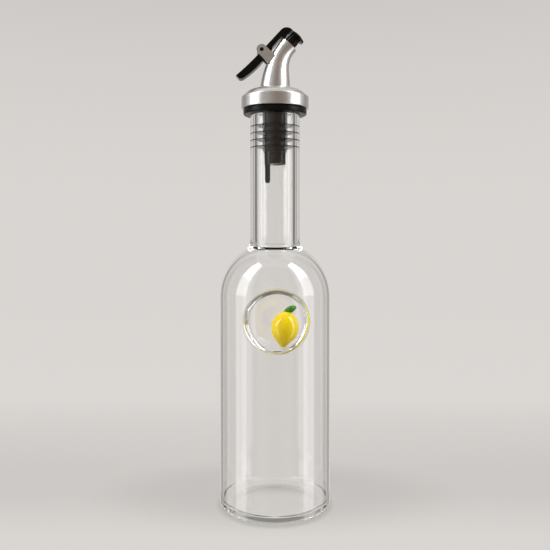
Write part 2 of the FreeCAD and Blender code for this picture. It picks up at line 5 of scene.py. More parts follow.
import bmesh
import bpy
from bpy.props import FloatProperty, FloatVectorProperty, IntProperty, PointerProperty
from bpy.types import Operator, Panel, PropertyGroup
from mathutils import Matrix, Vector, noise


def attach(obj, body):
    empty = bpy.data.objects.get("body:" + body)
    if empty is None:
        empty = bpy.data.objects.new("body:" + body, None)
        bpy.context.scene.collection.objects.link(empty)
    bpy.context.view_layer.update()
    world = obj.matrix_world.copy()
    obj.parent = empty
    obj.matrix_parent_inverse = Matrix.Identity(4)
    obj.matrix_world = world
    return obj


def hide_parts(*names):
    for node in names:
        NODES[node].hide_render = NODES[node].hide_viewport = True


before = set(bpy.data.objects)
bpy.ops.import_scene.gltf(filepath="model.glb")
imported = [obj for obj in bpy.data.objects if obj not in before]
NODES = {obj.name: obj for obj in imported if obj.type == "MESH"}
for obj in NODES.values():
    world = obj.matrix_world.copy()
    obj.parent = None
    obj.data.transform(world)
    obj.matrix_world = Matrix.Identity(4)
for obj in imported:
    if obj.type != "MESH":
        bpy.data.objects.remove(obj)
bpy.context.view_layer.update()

bl_info = {
    "name": "Oil Bottle with Pourer",
    "version": (1, 0, 0),
    "blender": (4, 5, 0),
    "location": "View3D > Sidebar > Oil Bottle",
    "description": "Builds a glass oil bottle with a lemon in its pocket and a pourer",
    "category": "Add Mesh",
}

MM = 0.001
FULL_TURN = 2 * math.pi


# ---------------------------------------------------------------- properties

def length(name, description, default):
    return FloatProperty(name=name, description=description, default=default,
                         min=0.0, unit="LENGTH", subtype="DISTANCE", precision=5)


def angle(name, description, degrees):
    return FloatProperty(name=name, description=description,
                         default=math.radians(degrees), subtype="ANGLE")


def colour(name, description, default):
    return FloatVectorProperty(name=name, description=description, default=default,
                               size=3, min=0.0, max=1.0, subtype="COLOR")


class BottleGlassSettings(PropertyGroup):
    """Sizes of the blown glass, the same as the solid's."""
    body_radius: length("Body radius", "Outside of the cylindrical body", 29.0 * MM)
    wall: length("Wall", "Thickness of the blown wall", 1.6 * MM)
    shoulder: length("Shoulder", "Height of the centre of the round shoulder", 109.5 * MM)
    neck_radius: length("Neck radius", "Outside of the neck", 13.0 * MM)
    bore_radius: length("Bore radius", "Inside of the neck", 9.6 * MM)
    rim_height: length("Rim height", "Top of the glass", 204.5 * MM)
    base_thickness: length("Base thickness", "Glass under the inner floor", 3.4 * MM)
    pocket_radius: length("Pocket radius", "Inside of the round pocket", 13.7 * MM)
    pocket_height: length("Pocket height", "Height of the pocket's axis", 99.5 * MM)
    pocket_back: length("Pocket back", "Pocket's back in front of the axis", 12.4 * MM)
    pocket_corner: length("Pocket corner", "Rounding between back and side", 8.5 * MM)
    pocket_turn: angle("Pocket turn", "Angle of the pocket off the front", 2.2)
    tint: colour("Tint", "Colour of thick glass", (0.74, 0.78, 0.70))
    segments: IntProperty(name="Segments", description="Divisions round the bottle",
                          default=180, min=24, max=360)


class OrnamentSettings(PropertyGroup):
    """Colours and place of the glass lemon and its leaf."""
    lemon: colour("Lemon", "Main yellow of the lemon", (0.96, 0.67, 0.0))
    streak: colour("Streak", "Paler streaks along the lemon", (0.95, 0.76, 0.008))
    # Painted light: the lemon's lower tip is made brighter to offset the shade under it.
    tip_painted_light: colour("Nipple", "Warmer tone at the lemon's tip", (0.98, 0.70, 0.0))
    leaf: colour("Leaf", "Green of the leaf", (0.028, 0.150, 0.005))
    across: length("Across", "Lemon's centre to the right of the axis", 5.0 * MM)
    depth: length("Depth", "Lemon's centre in front of the axis", 20.95 * MM)
    height: length("Height", "Lemon's centre above the foot", 96.2 * MM)
    lean: angle("Lean", "Turn of the lemon in its pocket", 7.0)


class PourerSettings(PropertyGroup):
    """Finishes of the pourer's metal, rubber and plastic."""
    metal: colour("Metal", "Colour of the satin metal", (0.73, 0.722, 0.708))
    rubber: colour("Rubber", "Colour of the stopper", (0.004, 0.004, 0.0036))
    plastic: colour("Plastic", "Colour of core, nozzle and air tube", (0.008, 0.0065, 0.005))
    lever: colour("Lever", "Colour of the lever and cap", (0.004, 0.004, 0.0036))


class StageSettings(PropertyGroup):
    """Backdrop, floor, room, side lamps and camera."""
    backdrop: colour("Backdrop", "Colour of the backdrop at the horizon", (0.694, 0.666, 0.643))
    backdrop_high: colour("Backdrop above", "Colour of the backdrop higher up",
                          (0.590, 0.565, 0.545))
    floor_near: colour("Floor near", "Floor in front of the bottle", (0.694, 0.665, 0.641))
    # Painted shade: the floor's darker band where the bottle's soft shadow falls.
    floor_painted_shade: colour("Floor low", "Floor in the soft shade behind", (0.605, 0.579, 0.559))
    floor_mid: colour("Floor middle", "Floor farther behind", (0.705, 0.676, 0.652))
    room: colour("Room", "Warm dim room behind the camera", (0.26, 0.205, 0.165))
    room_left: colour("Room left", "Paler left part of the room", (0.52, 0.51, 0.49))
    dark: colour("Dark", "Dark sides of the room", (0.14, 0.135, 0.13))
    aside: colour("Aside", "Grey screens beside the backdrop", (0.56, 0.537, 0.517))
    gap: colour("Gap", "Dark gap in the screens", (0.07, 0.067, 0.064))
    border: colour("Border", "Dim border of the backdrop", (0.29, 0.278, 0.268))
    lamp_aside: length("Lamps aside", "Side lamps to the left and right", 430.0 * MM)
    lamp_ahead: length("Lamps ahead", "Side lamps in front of the bottle", 132.0 * MM)
    lamp_width: length("Lamp width", "Width of the side lamps", 210.0 * MM)
    camera_distance: length("Camera distance", "From the bottle's axis", 343.9 * MM)
    camera_height: length("Camera height", "Above the floor", 145.1 * MM)
    camera_tilt: angle("Camera tilt", "Downward look of the camera", 0.931)
    camera_shift: FloatProperty(name="Camera shift", description="Upward shift of the lens",
                                default=-0.065)
    focal: FloatProperty(name="Focal length", description="Focal length of the lens in mm",
                         default=42.76, min=10.0, max=200.0)


GROUPS = {
    "oil_glass": BottleGlassSettings,
    "oil_ornament": OrnamentSettings,
    "oil_pourer": PourerSettings,
    "oil_stage": StageSettings,
}


# ---------------------------------------------------------------- mesh helpers

def piece_from(name, vertices, faces, material, body=None):
    """Smooth object from vertices and faces; it rides on a body of the frame, if given."""
    mesh = bpy.data.meshes.new(name)
    mesh.from_pydata([tuple(v) for v in vertices], [], faces)
    form = bmesh.new()
    form.from_mesh(mesh)
    bmesh.ops.recalc_face_normals(form, faces=form.faces)
    form.to_mesh(mesh)
    form.free()
    mesh.polygons.foreach_set("use_smooth", [True] * len(mesh.polygons))
    mesh.materials.append(material)
    piece = bpy.data.objects.new(name, mesh)
    bpy.context.scene.collection.objects.link(piece)
    if body:
        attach(piece, body)
    return piece


def arc(across, up, radius, first, last, steps):
    """Points of an arc in the profile plane, angles in degrees from level."""
    turn = [math.radians(first + (last - first) * i / steps) for i in range(steps + 1)]
    return [(across + radius * math.cos(t), up + radius * math.sin(t)) for t in turn]


def run(start, end, steps):
    """Points of a straight run in the profile plane, both ends included."""
    return [(start[0] + (end[0] - start[0]) * i / steps,
             start[1] + (end[1] - start[1]) * i / steps) for i in range(steps + 1)]


# ---------------------------------------------------------------- the blown glass

# One skin of the wall: its radius, how much larger the pocket is in it, and its lip.
Skin = namedtuple("Skin", "radius grown lip")
PUNT_DEPTH = 1.0 * MM


def shell_radius(radius, shoulder, height):
    """Radius of a skin of the body at a height: cylinder, then half-round shoulder."""
    over = max(0.0, height - shoulder)
    return math.sqrt(max(radius * radius - over * over, 0.0))


class GlassForm:
    """Closed mesh of the bottle: one profile turned round, with the pocket's
    two skins set into a square opening in the front of each wall."""
    hole_half_angle = math.radians(48)
    hole_half_height = 21.5 * MM
    back_rings = 6
    corner_rings = 18
    side_rings = 3
    lip_rings = 10
    flat_rings = 9

    def __init__(self, sizes):
        self.sizes = sizes
        self.segments = sizes.segments
        self.cells = int(round(2 * self.hole_half_angle / FULL_TURN * self.segments))
        self.vertices = []
        self.faces = []
        self.outer_skin = Skin(sizes.body_radius, 0.0, 1.6 * MM)
        self.inner_skin = Skin(sizes.body_radius - sizes.wall, sizes.wall, 1.0 * MM)

    def point(self, radius, angle, height):
        turned = angle + self.sizes.pocket_turn
        return Vector((radius * math.sin(turned), -radius * math.cos(turned), height))

    def hole_heights(self):
        low = self.sizes.pocket_height - self.hole_half_height
        step = 2 * self.hole_half_height / self.cells
        return [low + step * i for i in range(self.cells + 1)]

    def outside(self):
        """Profile from the hollow of the base up to the rim, split at the pocket."""
        s = self.sizes
        radius, heel, punt = s.body_radius, 3.2 * MM, 22.5 * MM
        low, high = self.hole_heights()[0], self.hole_heights()[-1]
        steps = 8
        below = [(punt * i / steps, PUNT_DEPTH * (1 - (i / steps) ** 2))
                 for i in range(1, steps + 1)]
        below += run((punt, 0.0), (radius - heel, 0.0), steps=3)[1:]
        below += arc(radius - heel, heel, heel, -90, 0, steps=12)[1:]
        below += run((radius, heel), (radius, low), steps=26)[1:-1]
        # The shoulder ends in a crease, from which the neck's foot flares up.
        crease, flare, foot, rim = 14.4 * MM, 14.0 * MM, 140.8 * MM, 1.2 * MM
        first = math.degrees(math.asin((high - s.shoulder) / radius))
        last = math.degrees(math.acos(crease / radius))
        above = arc(0.0, s.shoulder, radius, first, last, steps=22)[1:]
        before, corner = above[-2:]
        after = (crease - 0.4 * MM, corner[1] + 1.1 * MM)
        above = above[:-1] + soften(before, corner, after)
        sweep = math.degrees(math.asin((foot - corner[1]) / flare))
        above += arc(s.neck_radius + flare, foot, flare, 180 + sweep, 180, steps=12)[2:]
        above += run((s.neck_radius, foot), (s.neck_radius, s.rim_height - rim), steps=24)[1:]
        above += arc(s.neck_radius - rim, s.rim_height - rim, rim, 0, 90, steps=8)[1:]
        return below, above

    def inside(self):
        """Profile from the rim down the bore to the middle of the inner floor."""
        s = self.sizes
        radius = s.body_radius - s.wall
        mouth, throat, corner = 0.7 * MM, 2.5 * MM, 2.6 * MM
        low, high = self.hole_heights()[0], self.hole_heights()[-1]
        upper = arc(s.bore_radius + mouth, s.rim_height - mouth, mouth, 90, 180, steps=6)
        # The throat's rounding touches the bore and the round of the shoulder.
        across = s.bore_radius + throat
        centre = s.shoulder + math.sqrt((radius + throat) ** 2 - across ** 2)
        touch = math.degrees(math.atan2(centre - s.shoulder, across))
        upper += run((s.bore_radius, s.rim_height - mouth), (s.bore_radius, centre), steps=26)[1:]
        upper += arc(across, centre, throat, 180, 180 + touch, steps=10)[1:]
        first = math.degrees(math.asin((high - s.shoulder) / radius))
        upper += arc(0.0, s.shoulder, radius, touch, first, steps=24)[1:-1]
        floor = s.base_thickness
        lower = run((radius, low), (radius, floor + corner), steps=26)[1:]
        lower += arc(radius - corner, floor + corner, corner, 0, -90, steps=12)[1:]
        lower += run((radius - corner, floor), (0.0, floor), steps=8)[1:-1]
        return upper, lower

    def ring(self, radius, height):
        """Vertices of one full ring; returns their numbers."""
        first = len(self.vertices)
        for j in range(self.segments):
            angle = FULL_TURN * j / self.segments
            self.vertices.append(self.point(radius, angle, height))
        return list(range(first, first + self.segments))

    def join(self, ring, following, skip=0):
        """Quads between two rings, leaving out the opening round the front."""
        half = skip // 2
        for j in range(self.segments):
            if skip and (j < half or j >= self.segments - half):
                continue
            k = (j + 1) % self.segments
            self.faces.append((ring[j], ring[k], following[k], following[j]))

    def fan(self, ring, height):
        """Close a ring to a point on the axis."""
        middle = len(self.vertices)
        self.vertices.append(self.point(0.0, 0.0, height))
        for j in range(self.segments):
            self.faces.append((ring[j], ring[(j + 1) % self.segments], middle))

    def wall_with_hole(self, skin, heights):
        """Rings of the wall past the pocket, with the pocket set into the opening.
        Inside the opening only its border has vertices that are used."""
        rings = [self.ring(shell_radius(skin.radius, self.sizes.shoulder, h), h) for h in heights]
        for ring, following in zip(rings, rings[1:]):
            self.join(ring, following, skip=self.cells)
        self.set_pocket(skin, rings, heights)
        return rings

    def border(self, rings, heights):
        """Vertices round the opening with their angle and height, in order."""
        half = self.cells // 2
        columns = [j % self.segments for j in range(-half, half + 1)]
        angles = [FULL_TURN * j / self.segments for j in range(-half, half + 1)]
        last = len(rings) - 1
        path = [(rings[0][columns[i]], angles[i], heights[0]) for i in range(self.cells)]
        path += [(rings[i][columns[-1]], angles[-1], heights[i]) for i in range(last)]
        path += [(rings[last][columns[-1 - i]], angles[-1 - i], heights[last])
                 for i in range(self.cells)]
        path += [(rings[last - i][columns[0]], angles[0], heights[last - i])
                 for i in range(last)]
        return path

    def set_pocket(self, skin, rings, heights):
        """Round recess, its rolled lip and the wall out to the opening's border."""
        s = self.sizes
        pole = len(self.vertices)
        self.vertices.append(self.turned(Vector((0.0, skin.grown - s.pocket_back,
                                                 s.pocket_height))))
        lines = []
        for number, angle, height in self.border(rings, heights):
            heading = math.atan2(height - s.pocket_height, skin.radius * math.sin(angle))
            line = self.pocket_line(skin, heading, angle, height)
            first = len(self.vertices)
            self.vertices.extend(self.turned(p) for p in line)
            lines.append(list(range(first, first + len(line))) + [number])
        for line, following in zip(lines, lines[1:] + lines[:1]):
            self.faces.append((pole, line[0], following[0]))
            for i in range(len(line) - 1):
                self.faces.append((line[i], line[i + 1], following[i + 1], following[i]))

    def turned(self, place):
        return Matrix.Rotation(self.sizes.pocket_turn, 3, "Z") @ place

    def depth(self, skin, place):
        """How far a place lies inside the body's surface."""
        shoulder = self.sizes.shoulder
        if place.z <= shoulder:
            return skin.radius - math.hypot(place.x, place.y)
        return skin.radius - (place - Vector((0.0, 0.0, shoulder))).length

    def lip_core(self, skin, outward):
        """Middle of the lip's rounding: off the pocket's side and under the surface."""
        s = self.sizes
        base = outward * (s.pocket_radius + skin.grown + skin.lip)
        base.z += s.pocket_height
        near, far = 0.0, skin.radius
        for _ in range(40):      # halved each time
            middle = (near + far) / 2
            if self.depth(skin, base - Vector((0.0, middle, 0.0))) > skin.lip:
                near = middle
            else:
                far = middle
        return base - Vector((0.0, near, 0.0))

    def pocket_line(self, skin, heading, angle, height):
        """Points from next to the middle of the pocket's back out towards the border."""
        s = self.sizes
        outward = Vector((math.cos(heading), 0.0, math.sin(heading)))
        inward = Vector((0.0, 1.0, 0.0))
        flat = s.pocket_radius - s.pocket_corner
        corner = s.pocket_corner + skin.grown
        hub = Vector((0.0, -s.pocket_back - s.pocket_corner, s.pocket_height))
        points = [hub + outward * (flat * i / self.back_rings) + inward * corner
                  for i in range(1, self.back_rings + 1)]
        for i in range(1, self.corner_rings + 1):
            t = math.pi / 2 * i / self.corner_rings
            points.append(hub + outward * (flat + corner * math.sin(t))
                          + inward * (corner * math.cos(t)))
        core = self.lip_core(skin, outward)
        rim_start = core - outward * skin.lip
        points += [points[-1].lerp(rim_start, i / self.side_rings)
                   for i in range(1, self.side_rings)]
        if core.z <= s.shoulder:
            away = Vector((core.x, core.y, 0.0)).normalized()
        else:
            away = (core - Vector((0.0, 0.0, s.shoulder))).normalized()
        points += [core + (-outward).slerp(away, i / self.lip_rings) * skin.lip
                   for i in range(self.lip_rings + 1)]
        start_angle = math.atan2(points[-1].x, -points[-1].y)
        start_height = points[-1].z
        for i in range(1, self.flat_rings):
            share = i / self.flat_rings
            share *= 0.55 + 0.45 * share      # closer together next to the lip
            turn = start_angle + (angle - start_angle) * share
            up = start_height + (height - start_height) * share
            radius = shell_radius(skin.radius, s.shoulder, up)
            points.append(Vector((radius * math.sin(turn), -radius * math.cos(turn), up)))
        return points

    def build(self):
        heights = self.hole_heights()
        below, above = self.outside()
        upper, lower = self.inside()
        rings = [self.ring(r, z) for r, z in below]
        self.fan(rings[0], PUNT_DEPTH)
        for ring, following in zip(rings, rings[1:]):
            self.join(ring, following)
        wall = self.wall_with_hole(self.outer_skin, heights)
        self.join(rings[-1], wall[0])
        rings = [wall[-1]] + [self.ring(r, z) for r, z in above + upper]
        inner_wall = self.wall_with_hole(self.inner_skin, heights[::-1])
        rings.append(inner_wall[0])
        for ring, following in zip(rings, rings[1:]):
            self.join(ring, following)
        rings = [inner_wall[-1]] + [self.ring(r, z) for r, z in lower]
        for ring, following in zip(rings, rings[1:]):
            self.join(ring, following)
        self.fan(rings[-1], self.sizes.base_thickness)
        self.drop_unused()
        return self.vertices, self.faces

    def drop_unused(self):
        """Leave out the ring vertices that lie inside the two openings."""
        used = sorted({v for face in self.faces for v in face})
        place = {old: new for new, old in enumerate(used)}
        self.vertices = [self.vertices[v] for v in used]
        self.faces = [tuple(place[v] for v in face) for face in self.faces]


def soften(before, corner, after):
    """Small curve in place of a sharp corner of a profile."""
    reach = 0.8 * MM
    corner_at, back, ahead = Vector(corner), Vector(before), Vector(after)
    start = corner_at + (back - corner_at).normalized() * reach
    end = corner_at + (ahead - corner_at).normalized() * reach
    return [tuple(start.lerp(corner_at, t).lerp(corner_at.lerp(end, t), t))
            for t in (0.0, 0.2, 0.4, 0.6, 0.8, 1.0)]      # places along the curve


# ---------------------------------------------------------------- the ornament

def lemon_profile():
    """Half outline of the lemon along its own axis, stalk end up."""
    wide, flat, waist, dimple = 6.9 * MM, 1.2 * MM, 2.9 * MM, 0.3 * MM
    up, down, tip, tip_length = 7.9 * MM, 7.8 * MM, 2.45 * MM, 2.2 * MM
    rise = wide - flat
    upper = (rise * rise + up * up) / (2 * rise)
    fall = wide - waist
    lower = (fall * fall + down * down) / (2 * fall)
    end = down + tip_length
    hollow = 1.5 * MM
    cap = (tip * tip + hollow * hollow) / (2 * hollow)
    cap_angle = math.degrees(math.asin(tip / cap))
    points = arc(0.0, -end + cap, cap, -90, -90 + cap_angle, steps=12)
    points = points[1:] + run(points[-1], (waist, -down), steps=5)[1:]
    low_angle = math.degrees(math.asin(down / lower))
    points += arc(wide - lower, 0.0, lower, -low_angle, 0, steps=30)[1:]
    high_angle = math.degrees(math.asin(up / upper))
    points += arc(wide - upper, 0.0, upper, 0, high_angle, steps=30)[1:]
    points += run((flat, up), (0.0, up - dimple), steps=4)[1:-1]
    return points, -end, up - dimple


def turned_form(points, low, high, segments):
    """Vertices and faces of a profile turned round its axis, closed at both ends."""
    vertices, faces = [], []
    for across, up in points:
        for j in range(segments):
            t = FULL_TURN * j / segments
            vertices.append(Vector((across * math.cos(t), across * math.sin(t), up)))
    for i in range(len(points) - 1):
        for j in range(segments):
            k = (j + 1) % segments
            a, b = i * segments, (i + 1) * segments
            faces.append((a + j, a + k, b + k, b + j))
    bottom, top = len(vertices), len(vertices) + 1
    vertices += [Vector((0, 0, low)), Vector((0, 0, high))]
    last = (len(points) - 1) * segments
    for j in range(segments):
        k = (j + 1) % segments
        faces.append((bottom, k, j))
        faces.append((top, last + j, last + k))
    return vertices, faces


# ---------------------------------------------------------------- materials

class Wiring:
    """Helper that adds nodes to a tree; its calls take and give output sockets."""

    def __init__(self, tree):
        self.nodes, self.links = tree.nodes, tree.links
        self.nodes.clear()

    def node(self, kind, **values):
        """New node; values go to its properties or, failing that, its sockets."""
        made = self.nodes.new(kind)
        for key, value in values.items():
            if hasattr(made, key):
                setattr(made, key, value)
            else:
                made.inputs[key.replace("_", " ")].default_value = value
        return made

    def link(self, source, target, socket):
        """Join an output socket to an input of a node, by name or number."""
        self.links.new(source, target.inputs[socket])

    def feed(self, target, terms):
        """Set a node's inputs, by name or number, to follow a socket or to a value."""
        for socket, term in terms.items():
            if isinstance(term, bpy.types.NodeSocket):
                self.link(term, target, socket)
            else:
                target.inputs[socket].default_value = term

    def span(self, source, first, last, low=0.0, high=1.0, smooth=False):
        """Map a value from first..last onto low..high."""
        kind = "SMOOTHSTEP" if smooth else "LINEAR"
        made = self.node("ShaderNodeMapRange", interpolation_type=kind, From_Min=first,
                         From_Max=last)
        self.feed(made, {"Value": source, "To Min": low, "To Max": high})
        return made.outputs["Result"]

    def reckon(self, operation, one, other):
        """Math node on two values or sockets."""
        made = self.node("ShaderNodeMath", operation=operation)
        self.feed(made, {0: one, 1: other})
        return made.outputs["Value"]

    def vector(self, operation, source, *terms):
        """Vector math node; a length comes out as a value."""
        made = self.node("ShaderNodeVectorMath", operation=operation)
        self.feed(made, dict(enumerate((source, *terms))))
        return made.outputs["Value" if operation == "LENGTH" else "Vector"]

    def split(self, vector):
        """The X, Y and Z sockets of a vector."""
        made = self.node("ShaderNodeSeparateXYZ")
        self.link(vector, made, "Vector")
        return made.outputs

    def blend(self, share, first, second):
        """Mix of two colours, all first at 0 and all second at 1."""
        made = self.node("ShaderNodeMix", data_type="RGBA")
        self.feed(made, {0: share, 6: opaque(first), 7: opaque(second)})
        return made.outputs[2]

    def mix(self, share, first, second):
        """Mix of two shaders."""
        made = self.node("ShaderNodeMixShader")
        self.feed(made, {0: share, 1: first, 2: second})
        return made.outputs["Shader"]

    def ramp(self, source, stops):
        """Colour ramp over a value; stops are (place, colour)."""
        made = self.node("ShaderNodeValToRGB")
        band = made.color_ramp
        while len(band.elements) < len(stops):
            band.elements.new(1.0)
        for element, (place, shade) in zip(band.elements, stops):
            element.position = place
            element.color = opaque(shade)
        self.link(source, made, "Fac")
        return made.outputs["Color"]


class Finish(Wiring):
    """One node material."""

    def __init__(self, name):
        self.material = bpy.data.materials.new(name)
        self.material.use_nodes = True
        super().__init__(self.material.node_tree)
        self.output = self.node("ShaderNodeOutputMaterial")

    def shader(self, **values):
        made = self.node("ShaderNodeBsdfPrincipled", **values)
        self.link(made.outputs["BSDF"], self.output, "Surface")
        return made

    def place(self):
        """Object coordinates: metres from the middle of the bottle's foot, or of the lemon."""
        return self.node("ShaderNodeTexCoord").outputs["Object"]

    def speckle(self, scale, detail=4.0, stretch=(1.0, 1.0, 1.0)):
        """Noise in object space."""
        spread = self.node("ShaderNodeMapping", Scale=stretch)
        self.link(self.place(), spread, "Vector")
        made = self.node("ShaderNodeTexNoise", Scale=scale, Detail=detail)
        self.link(spread.outputs["Vector"], made, "Vector")
        return made.outputs["Fac"]

    def relief(self, shader, source, strength, depth):
        """Fine relief on the shader from a noise."""
        bump = self.node("ShaderNodeBump", Strength=strength, Distance=depth)
        self.link(source, bump, "Height")
        self.link(bump.outputs["Normal"], shader, "Normal")


def opaque(shade):
    """A colour with full alpha; sockets pass through."""
    return shade if isinstance(shade, bpy.types.NodeSocket) else (*shade, 1.0)


def scaled(shade, share):
    """A colour made darker or brighter."""
    return tuple(channel * share for channel in shade)


GLASS_IOR = 1.5
# Light caught in many inner reflections leaves the glass past this many bounces.
LAST_BOUNCE = 5.5


def clear_glass(settings):
    finish = Finish("clear_glass")
    glass = finish.shader(Base_Color=(1.0, 1.0, 1.0, 1.0), Roughness=0.0, IOR=GLASS_IOR,
                          Transmission_Weight=1.0)
    ripple = finish.speckle(scale=45.0, detail=1.0)
    finish.relief(glass, ripple, strength=0.04, depth=0.2 * MM)
    path = finish.node("ShaderNodeLightPath").outputs
    late = finish.reckon("GREATER_THAN", path["Ray Depth"], LAST_BOUNCE)
    # It comes out dimmed, never lost: a painted shade in the glass that is darker towards the
    # foot.
    height = finish.split(finish.place())["Z"]
    # Painted shade: the late rays' tint darkens the glass more near the bottom.
    foot = finish.span(height, 20 * MM, 70 * MM, low=0.79, high=0.97)
    clear = finish.node("ShaderNodeBsdfTransparent")
    finish.link(finish.span(late, 0.0, 1.0, low=1.0, high=foot), clear, "Color")
    either = finish.reckon("MAXIMUM", path["Is Shadow Ray"], late)
    both = finish.mix(either, glass.outputs["BSDF"], clear.outputs["BSDF"])
    finish.link(both, finish.output, "Surface")
    soak = finish.node("ShaderNodeVolumeAbsorption", Color=opaque(settings.tint), Density=14.0)
    finish.link(soak.outputs["Volume"], finish.output, "Volume")
    return finish.material


def lemon_glass(settings):
    finish = Finish("yellow_glass")
    skin = finish.shader(Roughness=0.09, IOR=GLASS_IOR, Coat_Weight=0.3, Coat_Roughness=0.04,
                         Subsurface_Weight=0.15, Subsurface_Scale=2 * MM)
    streaks = finish.speckle(scale=420.0, detail=3.0, stretch=(1.0, 1.0, 0.22))
    tones = finish.ramp(streaks, [(0.35, settings.lemon), (0.68, settings.streak)])
    # From the brighter tip, painted light against the shade under it, up to the streaked body.
    height = finish.split(finish.place())["Z"]
    share = finish.span(height, -9.5 * MM, -5.0 * MM)
    finish.link(finish.blend(share, settings.tip_painted_light, tones), skin, "Base Color")
    finish.relief(skin, streaks, strength=0.25, depth=0.6 * MM)
    return finish.material


def leaf_glass(settings):
    finish = Finish("green_glass")
    skin = finish.shader(Roughness=0.1, IOR=GLASS_IOR, Coat_Weight=0.4)
    speckle = finish.speckle(scale=500.0)
    finish.relief(skin, speckle, strength=0.2, depth=0.4 * MM)
    tones = finish.ramp(speckle, [(0.35, scaled(settings.leaf, 0.7)),
                                  (0.7, scaled(settings.leaf, 2.2))])
    finish.link(tones, skin, "Base Color")
    return finish.material


def satin_metal(settings):
    finish = Finish("satin_metal")
    skin = finish.shader(Metallic=1.0)
    brushing = finish.speckle(scale=160.0, detail=2.0, stretch=(1.0, 1.0, 14.0))
    tones = finish.ramp(brushing, [(0.3, scaled(settings.metal, 0.93)), (0.7, settings.metal)])
    finish.link(tones, skin, "Base Color")
    rough = finish.span(brushing, 0.0, 1.0, low=0.30, high=0.38)
    finish.link(rough, skin, "Roughness")
    return finish.material


def dark_finish(name, shade, roughness, grain_scale, grain_depth):
    """Black rubber or plastic with a fine moulded grain."""
    finish = Finish(name)
    spread = 0.06
    skin = finish.shader(IOR=1.48, Specular_IOR_Level=0.16)
    speckle = finish.speckle(scale=grain_scale)
    finish.relief(skin, speckle, strength=0.35, depth=grain_depth)
    tones = finish.ramp(speckle, [(0.3, scaled(shade, 0.75)), (0.7, scaled(shade, 1.3))])
    finish.link(tones, skin, "Base Color")
    rough = finish.span(speckle, 0.0, 1.0, low=roughness - spread, high=roughness + spread)
    finish.link(rough, skin, "Roughness")
    return finish.material


def dress(node, material):
    """Give a solid of the frame its finish."""
    slots = NODES[node].data.materials
    slots.clear()
    slots.append(material)


# ---------------------------------------------------------------- operators

class OILBOTTLE_OT_blow_glass(Operator):
    """Blow the clear glass bottle with its front pocket"""
    bl_idname = "oil_bottle.blow_glass"
    bl_label = "Blow Glass"

    def execute(self, context):
        sizes = context.scene.oil_glass
        vertices, faces = GlassForm(sizes).build()
        glass = piece_from("blown_glass", vertices, faces, clear_glass(sizes), "bottle")
        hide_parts("glass_bottle")
        return {"FINISHED"}


class OILBOTTLE_OT_shape_lemon(Operator):
    """Shape the glass lemon and its leaf"""
    bl_idname = "oil_bottle.shape_lemon"
    bl_label = "Shape Lemon"

    def execute(self, context):
        settings = context.scene.oil_ornament
        points, low, high = lemon_profile()
        vertices, faces = turned_form(points, low, high, segments=96)
        uneven, waves = 0.12 * MM, 190.0
        for place in vertices:
            swell = noise.noise(place * waves)
            place += Vector((place.x, place.y, 0.0)).normalized() * swell * uneven
        lemon = piece_from("glass_lemon", vertices, faces, lemon_glass(settings), "bottle")
        lemon.matrix_world = (Matrix.Translation((settings.across, -settings.depth,
                                                  settings.height))
                              @ Matrix.Rotation(settings.lean, 4, "Y"))
        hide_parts("lemon")
        dress("lemon_leaf", leaf_glass(settings))
        return {"FINISHED"}


class OILBOTTLE_OT_finish_pourer(Operator):
    """Finish the stopper, the core, the metal spout and the lever"""
    bl_idname = "oil_bottle.finish_pourer"
    bl_label = "Finish Pourer"

    def execute(self, context):
        settings = context.scene.oil_pourer
        rubber = dark_finish("black_rubber", settings.rubber, roughness=0.30,
                             grain_scale=700.0, grain_depth=0.1 * MM)
        plastic = dark_finish("black_plastic", settings.plastic, roughness=0.16,
                              grain_scale=500.0, grain_depth=0.05 * MM)
        lever = dark_finish("lever_plastic", settings.lever, roughness=0.16,
                            grain_scale=600.0, grain_depth=0.05 * MM)
        for node in ("rubber_stopper", "cap_seal"):
            dress(node, rubber)
        for node in ("pourer_core", "air_tube", "nozzle", "hinge_pin"):
            dress(node, plastic)
        dress("lever", lever)
        dress("pourer_spout", satin_metal(settings))
        return {"FINISHED"}


# Side lamps from the top down: brightest above, dimmer beside the neck, dimmest by
# the foot. Each has its lowest and highest point and its radiance.
SIDE_LAMPS = (
    ("softbox", 0.40, 1.07, 6.5),
    ("panel", 0.13, 0.40, 3.3),
    ("skirt", -0.67, 0.13, 1.5),
)
# Y of a level heading, 1 straight ahead, over which the border turns into the backdrop.
BACKDROP_EDGE = (0.885, 0.915)
FLOOR_RADIUS = 6.0


def softbox(name, place, target, width, height, power):
    """Soft rectangular lamp that the camera doesn't see."""
    lamp = bpy.data.lights.new(name, "AREA")
    lamp.shape = "RECTANGLE"
    lamp.size, lamp.size_y = width, height
    lamp.energy = power
    box = bpy.data.objects.new(name, lamp)
    box.location = place
    box.rotation_euler = (Vector(target) - Vector(place)).to_track_quat("-Z", "Y").to_euler()
    box.visible_camera = False
    bpy.context.scene.collection.objects.link(box)


